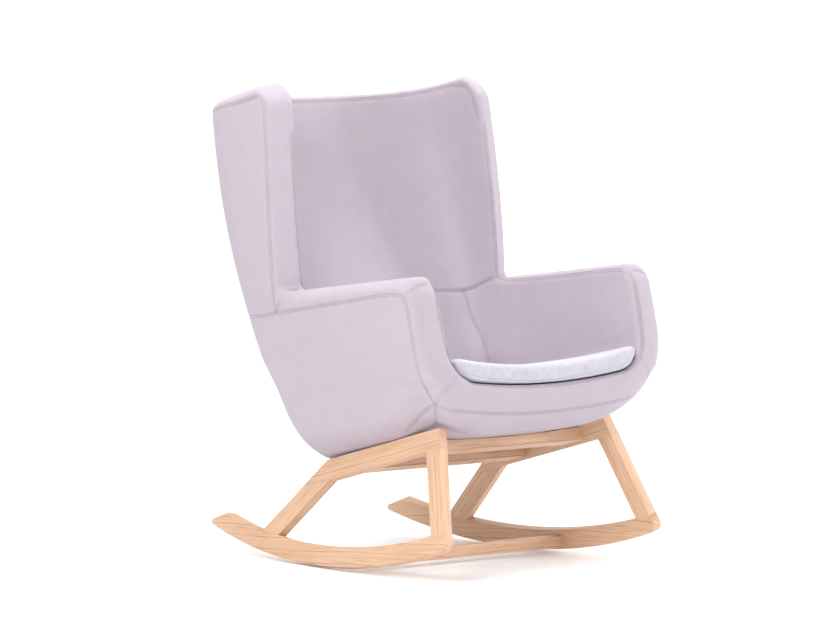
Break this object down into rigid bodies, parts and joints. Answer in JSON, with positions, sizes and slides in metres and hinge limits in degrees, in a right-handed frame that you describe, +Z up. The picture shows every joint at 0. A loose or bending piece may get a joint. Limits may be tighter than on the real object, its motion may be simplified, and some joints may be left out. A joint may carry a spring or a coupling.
{
  "type": "rocking chair",
  "caption": "Upholstered wing-back rocking chair on a splayed wooden base with curved runners and a loose seat cushion.",
  "frame": {"origin": "centre of the chair's plan outline, on the floor", "axes": "+Z up, +X across the chair, the chair faces -Y; the YZ plane is the plane of symmetry"},
  "size_m": [0.684, 0.8413, 1.0116],
  "materials": {
    "ash": "pale oiled ash with visible grain",
    "beech_dowel": "raw beech",
    "zinc_steel": "zinc-plated steel",
    "plywood": "raw birch plywood",
    "black_steel": "black primer on flat steel bar",
    "shell_felt": "felted wool over moulded foam, dusty lilac grey",
    "cushion_wool": "melange wool, light blue grey"
  },
  "bodies": {
    "chair": {"runner_left": "ash", "runner_right": "ash", "front_leg_left": "ash", "front_leg_right": "ash", "rear_leg_left": "ash", "rear_leg_right": "ash", "top_rail_left": "ash", "top_rail_right": "ash", "front_crossbar": "ash", "rear_crossbar": "ash", "low_stretcher": "ash", "leg_dowels": "beech_dowel", "crossbar_dowels": "beech_dowel", "stretcher_dowels": "beech_dowel", "shell_bolts": "zinc_steel", "bolt_washers": "zinc_steel", "t_nuts": "zinc_steel", "seat_board": "plywood", "shell_ribs": "black_steel", "rib_screws": "zinc_steel", "back_uprights": "black_steel", "back_hoops": "black_steel", "seat_pad": "shell_felt", "arm_pad_left": "shell_felt", "arm_pad_right": "shell_felt", "wing_pad_left": "shell_felt", "wing_pad_right": "shell_felt", "back_pad": "shell_felt"},
    "cushion": {"seat_cushion": "cushion_wool"}
  },
  "joints": [
    {"name": "cushion_lift", "type": "slide", "parent": "chair", "child": "cushion", "axis": [0, 0, 1], "range_m": [0, 0.26]}
  ]
}
